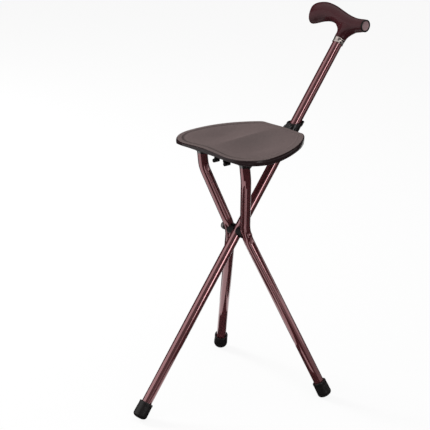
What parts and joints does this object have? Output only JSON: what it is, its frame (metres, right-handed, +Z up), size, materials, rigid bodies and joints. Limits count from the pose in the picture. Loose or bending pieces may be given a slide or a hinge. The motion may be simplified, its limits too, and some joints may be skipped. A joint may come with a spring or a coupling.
{
  "type": "walking stick seat",
  "caption": "Folding walking stick with a seat: a leaning cane tube with a palm grip, bent legs that swing on a hub bolt, and a moulded seat on a slider.",
  "frame": {"origin": "on the floor, under the middle of the open seat's overall box", "axes": "+X towards the front of the seat and the foot of the cane, +Y to the left leg, +Z up"},
  "size_m": [0.5344, 0.323, 0.6992],
  "materials": {
    "tube": "glossy wine enamel",
    "handle": "smooth",
    "disc": "satin",
    "ferrule": "satin",
    "seat": "fine grain",
    "black_plastic": "moulded",
    "steel": "plated",
    "rubber": "matt"
  },
  "bodies": {
    "shaft": {"main_tube": "tube", "handle_grip": "handle", "handle_end_disc": "disc", "ferrule_ring": "ferrule", "stop_collar": "black_plastic", "stop_collar_screw": "steel", "left_cane_saddle": "black_plastic", "right_cane_saddle": "black_plastic", "hub_bolt": "steel", "hub_cap_nut": "black_plastic", "main_tip": "rubber", "main_tip_washer": "steel"},
    "left_leg": {"left_leg_tube": "tube", "left_top_plug": "black_plastic", "left_hub_bush": "steel", "left_leg_saddle": "black_plastic", "left_outer_saddle": "black_plastic", "left_tip": "rubber", "left_tip_washer": "steel"},
    "right_leg": {"right_leg_tube": "tube", "right_top_plug": "black_plastic", "right_hub_bush": "steel", "right_leg_saddle": "black_plastic", "right_outer_saddle": "black_plastic", "right_tip": "rubber", "right_tip_washer": "steel"},
    "seat": {"seat_shell": "seat", "rear_hinge_pin": "steel", "left_leg_lug": "black_plastic", "right_leg_lug": "black_plastic", "left_top_pin": "steel", "right_top_pin": "steel", "lug_screws": "steel", "shaft_clip": "black_plastic"},
    "slider": {"slider_collar": "black_plastic"}
  },
  "joints": [
    {"name": "left_leg_fold", "type": "hinge", "parent": "shaft", "child": "left_leg", "pos_m": [0.02563, 0, 0.31466], "axis": [0, -1, 0], "range_deg": [0, 52]},
    {"name": "right_leg_fold", "type": "hinge", "parent": "shaft", "child": "right_leg", "pos_m": [0.02563, 0, 0.31466], "axis": [0, -1, 0], "range_deg": [0, 52]},
    {"name": "seat_tip", "type": "hinge", "parent": "left_leg", "child": "seat", "pos_m": [0.06759, 0.0573, 0.46595], "axis": [0, 1, 0], "range_deg": [0, 106.16]},
    {"name": "slider_pivot", "type": "hinge", "parent": "seat", "child": "slider", "pos_m": [-0.07794, 0, 0.47702], "axis": [0, -1, 0], "range_deg": [0, 54.16]}
  ],
  "couplings": [
    {"joint": "right_leg_fold", "follows": "left_leg_fold", "ratio": 1},
    {"joint": "seat_tip", "follows": "left_leg_fold", "ratio": 2.0413},
    {"joint": "slider_pivot", "follows": "left_leg_fold", "ratio": 1.0413}
  ]
}
